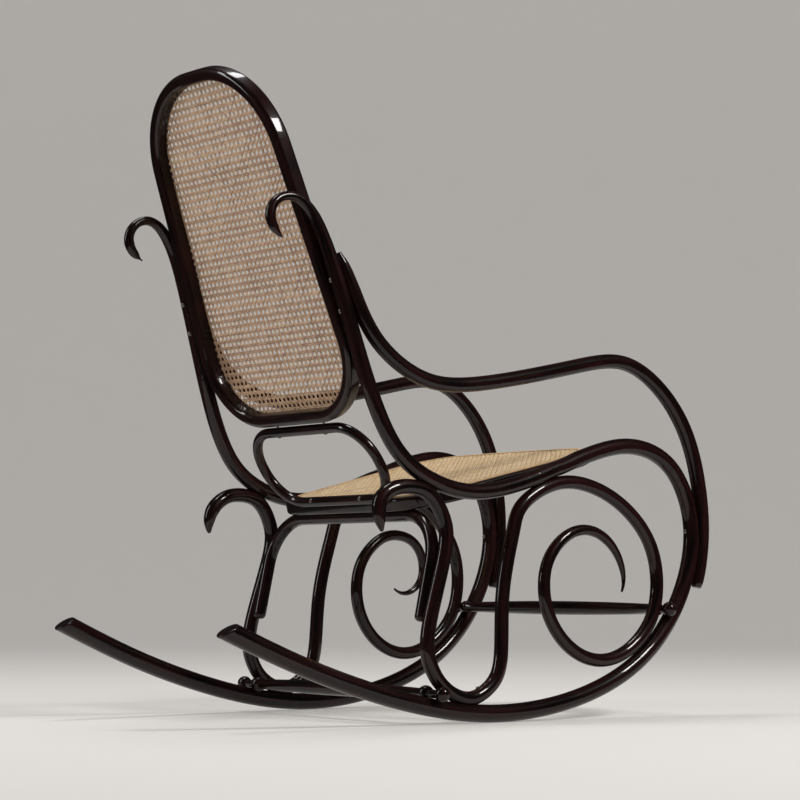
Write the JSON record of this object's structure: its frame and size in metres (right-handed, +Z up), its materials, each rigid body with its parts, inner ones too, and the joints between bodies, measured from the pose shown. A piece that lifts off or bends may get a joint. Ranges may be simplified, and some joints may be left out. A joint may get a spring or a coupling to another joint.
{
  "type": "rocking chair",
  "caption": "Bentwood rocking chair with hand-caned seat and reclined back, scrolled side frames on long runners, bent arm rods and turned stretchers; rocks on its runners.",
  "frame": {"origin": "on the floor under the middle of the chair's overall width and depth", "axes": "+Z up, the sitter faces -Y, the sitter's left is +X"},
  "size_m": [0.5704, 0.9849, 1.0222],
  "materials": {
    "dark_wood": "gloss lacquer over dark stained beech",
    "back_cane": "woven natural cane, satin",
    "seat_cane": "woven natural cane, satin",
    "dark_reed": "dark stained reed",
    "screw_steel": "darkened steel"
  },
  "bodies": {
    "root": {"rail_runner_right": "dark_wood", "rail_runner_left": "dark_wood", "arm_right": "dark_wood", "arm_left": "dark_wood", "scroll_right": "dark_wood", "scroll_left": "dark_wood", "back_frame": "dark_wood", "lower_back_loop": "dark_wood", "seat_frame": "dark_wood", "seat_yoke": "dark_wood", "front_stretcher": "dark_wood", "rear_stretcher": "dark_wood", "front_knob_right": "dark_wood", "front_knob_left": "dark_wood", "rear_knob_right": "dark_wood", "rear_knob_left": "dark_wood", "back_cane": "back_cane", "seat_cane": "seat_cane", "back_cane_bead": "dark_reed", "seat_cane_bead": "seat_cane", "arm_head_screws": "screw_steel", "arm_foot_screws": "screw_steel", "scroll_screws": "screw_steel", "loop_lower_screws": "screw_steel", "loop_upper_screws": "screw_steel"}
  },
  "joints": []
}
